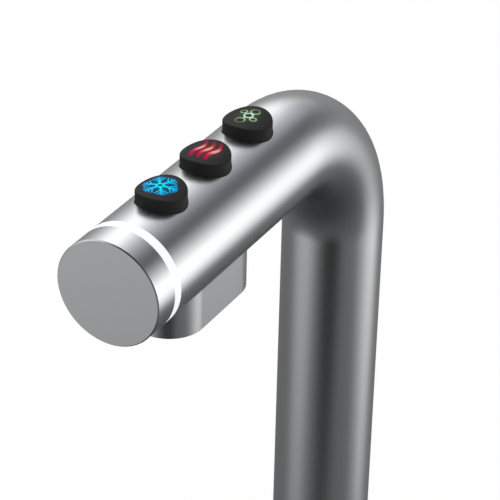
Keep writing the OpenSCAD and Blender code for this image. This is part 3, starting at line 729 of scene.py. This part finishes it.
# the cap's black with the icon's faint glow, strongest at the icon and gone at haloReach
def makeCapFinish(name, look, along):
    mat = makeFinish(name, finishes["button_black"])
    nodes, links = mat.node_tree.nodes, mat.node_tree.links
    bsdf = nodes["Principled BSDF"]
    fade = addNode(nodes, "ShaderNodeMapRange", {"From Min": 1, "From Max": printLook["haloFull"]},
                   interpolation_type="SMOOTHSTEP")
    place = printPlace(nodes, links, look["haloCentre"], along, look["haloReach"])
    links.new(place, fade.inputs["Value"])
    glow = addNode(nodes, "ShaderNodeVectorMath", {0: look["halo"]}, operation="SCALE")
    links.new(fade.outputs[0], glow.inputs["Scale"])
    links.new(glow.outputs[0], bsdf.inputs["Emission Color"])
    bsdf.inputs["Emission Strength"].default_value = 1
    return mat


for way, look in prints.items():
    along = buttonCap["places"][way]
    strokes = [(strokeGrid(path, half, along, closed), closed) for path, half, closed in look["draw"]()]
    films = [(filmGrid(first, last, along), False) for first, last in look["film"]()]
    # a film's colours are a painted glow: the icon's light shown on a dark film between its strokes
    for name, strips, colors in (("icon_", strokes, look["colors"]), ("glowFilm_", films, look["filmColors"])):
        mat = makeLitPrint(name + way, look, colors, along)
        addPiece(name + way, stripsMesh(name + way, strips), way + "_button", mat)
    caps[way].data.materials[0] = makeCapFinish("cap_" + way, look, along)
print("icons made")

# studio: pale floor just under the worktop's height, white surroundings, soft lamps, and a tent whose
# grey walls give the metal its bands; lengths in metres
studio = {
    "floorSize": 6.0,
    "floorDrop": 0.0003,
    "floorColor": (0.98, 0.98, 0.98),
    "floorGlow": 0.8,
    "worldLevel": 0.75,
}


# 1 for a ray that the camera sees, straight or in metal or glass, and 0 for light on the object
def seenRay(nodes, links):
    ray = addNode(nodes, "ShaderNodeLightPath").outputs
    inside = mathNode(nodes, links, "MAXIMUM", ray["Is Glossy Ray"], ray["Is Transmission Ray"])
    return mathNode(nodes, links, "MAXIMUM", ray["Is Camera Ray"], inside)


def mixShaders(nodes, links, share, first, second, surface):
    mix = addNode(nodes, "ShaderNodeMixShader")
    for socket, source in zip(mix.inputs, (share, first.outputs[0], second.outputs[0])):
        links.new(source, socket)
    links.new(mix.outputs[0], surface)


# The floor is a square. A seen ray gets white in the share of floorGlow, and the rest of it is a
# diffuse surface that takes the object's shadow.
def makeFloor(studio):
    s, z = studio["floorSize"], -studio["floorDrop"]
    grid = np.array([[(-s, -s, z), (s, -s, z)], [(-s, s, z), (s, s, z)]])
    obj = bpy.data.objects.new("floor", gridMesh("floor", grid))
    bpy.context.scene.collection.objects.link(obj)
    mat, nodes, links, surface = newMaterial("floor")
    pale = addNode(nodes, "ShaderNodeBsdfDiffuse", {"Color": (*studio["floorColor"], 1)})
    bright = addNode(nodes, "ShaderNodeEmission", {"Color": white})
    share = mathNode(nodes, links, "MULTIPLY", seenRay(nodes, links), studio["floorGlow"])
    mixShaders(nodes, links, share, pale, bright, surface)
    obj.data.materials.append(mat)
    obj.visible_glossy = False


makeFloor(studio)


# A seen ray gets plain white, and the object is lit at worldLevel.
def makeWorld(studio):
    world = bpy.data.worlds.new("studio")
    bpy.context.scene.world = world
    world.use_nodes = True
    nodes, links = world.node_tree.nodes, world.node_tree.links
    nodes.clear()
    surface = addNode(nodes, "ShaderNodeOutputWorld").inputs["Surface"]
    lit = addNode(nodes, "ShaderNodeBackground", {"Color": white, "Strength": studio["worldLevel"]})
    bright = addNode(nodes, "ShaderNodeBackground", {"Color": white, "Strength": 1})
    mixShaders(nodes, links, seenRay(nodes, links), lit, bright, surface)


makeWorld(studio)

# The tent's wall has a level, and up and down are what it gains towards the top and the bottom. A
# panel is a light or a shade on the wall: which way round from +Y towards +X, how high, the half
# angle where it ends, the share of that angle over which it fades, and how much it adds. Cool is
# where the wall takes coolColor, in the same four numbers.
tent = {
    "radius": 20,
    "columns": 48,
    "rows": 25,
    "poles": 89.9,
    "wall": 0.340,
    "up": -0.450,
    "down": -0.298,
    "least": 0.02,
    "cool": (16, 35, 36, 1.0),
    "coolColor": (0.99, 1.0, 1.06),
    "panels": {
        "topBack": (-13.3, 46.4, 40.3, 0.99, 0.934),
        "rightBack": (38.0, -11.2, 27.0, 1.00, 0.573),
        "rightLow": (53.2, -16.8, 25.9, 0.99, 0.663),
        "right": (67.0, 0.2, 42.4, 0.97, 0.904),
        "left": (-73.6, 47.6, 56.3, 1.00, 1.419),
        "front": (-143.1, 1.2, 45.8, 0.50, 0.528),
        "frontShade": (154.0, -7.4, 37.9, 0.98, -0.264),
        "backShade": (3.2, 37.3, 23.1, 0.44, -0.365),
        "sideShade": (63.0, -15.0, 16.0, 0.90, -0.750),
    },
}


# The tent is a ball round the tap that only reflections see. A panel is full at its middle and
# fades out smoothly to its half angle, by the cosine of the angle from its middle. The wall changes
# evenly with the height of its direction, and no spot is darker than least.
def makeTent(tent):
    turn = np.linspace(0, 2 * math.pi, tent["columns"], endpoint=False)
    rise = np.radians(np.linspace(-tent["poles"], tent["poles"], tent["rows"]))
    grid = tent["radius"] * np.stack([
        np.cos(rise)[:, None] * np.cos(turn), np.cos(rise)[:, None] * np.sin(turn),
        np.sin(rise)[:, None] + 0 * turn], -1)
    obj = bpy.data.objects.new("tent", gridMesh("tent", grid, closeCols=True, capRows=True))
    bpy.context.scene.collection.objects.link(obj)
    mat, nodes, links, surface = newMaterial("tent")
    glow = addNode(nodes, "ShaderNodeEmission")
    links.new(glow.outputs[0], surface)
    coords = addNode(nodes, "ShaderNodeTexCoord")
    unit = addNode(nodes, "ShaderNodeVectorMath", operation="NORMALIZE")
    links.new(coords.outputs["Object"], unit.inputs[0])
    axes = addNode(nodes, "ShaderNodeSeparateXYZ")
    links.new(unit.outputs[0], axes.inputs[0])

    def makeSpot(around, high, half, soft, level):
        az, el, edge = math.radians(around), math.radians(high), math.radians(half)
        middle = (math.cos(el) * math.sin(az), math.cos(el) * math.cos(az), math.sin(el))
        dot = addNode(nodes, "ShaderNodeVectorMath", {1: middle}, operation="DOT_PRODUCT")
        links.new(unit.outputs[0], dot.inputs[0])
        fade = addNode(nodes, "ShaderNodeMapRange", {
            "From Min": math.cos(edge),
            "From Max": math.cos(edge * (1 - soft)),
            "To Max": level,
        }, interpolation_type="SMOOTHSTEP")
        links.new(dot.outputs["Value"], fade.inputs["Value"])
        return fade.outputs[0]

    terms = []
    for sign, gain in ((1, tent["up"]), (-1, tent["down"])):
        side = addNode(nodes, "ShaderNodeMapRange", {"From Max": sign, "To Max": gain})
        links.new(axes.outputs["Z"], side.inputs["Value"])
        terms.append(side.outputs[0])
    terms += [makeSpot(*panel) for panel in tent["panels"].values()]
    total = tent["wall"]
    for term in terms:
        total = mathNode(nodes, links, "ADD", term, total)
    links.new(mathNode(nodes, links, "MAXIMUM", total, tent["least"]), glow.inputs["Strength"])
    # a Mix node's color sockets are 6 and 7, and its color comes out of 2
    tint = addNode(nodes, "ShaderNodeMix", {6: white, 7: (*tent["coolColor"], 1)}, data_type="RGBA")
    links.new(makeSpot(*tent["cool"], 1), tint.inputs[0])
    links.new(tint.outputs[2], glow.inputs["Color"])
    obj.data.materials.append(mat)
    for ray in ("camera", "diffuse", "transmission", "volume_scatter", "shadow"):
        setattr(obj, "visible_" + ray, False)


makeTent(tent)

# two soft lamps that point at the middle of the tap and don't show in the metal
lampAim = (0, -0.1, 0.25)
lamps = {
    "keyLamp": {"place": (-0.9, 0.4, 1.6), "size": 1.2, "power": 9},
    "fillLamp": {"place": (1.2, -1.1, 1.0), "size": 1.0, "power": 4},
}
for name, look in lamps.items():
    data = bpy.data.lights.new(name, "AREA")
    data.shape, data.size, data.energy = "DISK", look["size"], look["power"]
    lamp = bpy.data.objects.new(name, data)
    lamp.location = look["place"]
    lamp.rotation_euler = (Vector(lampAim) - lamp.location).to_track_quat("-Z", "Y").to_euler()
    lamp.visible_glossy = False
    bpy.context.scene.collection.objects.link(lamp)
print("studio built")
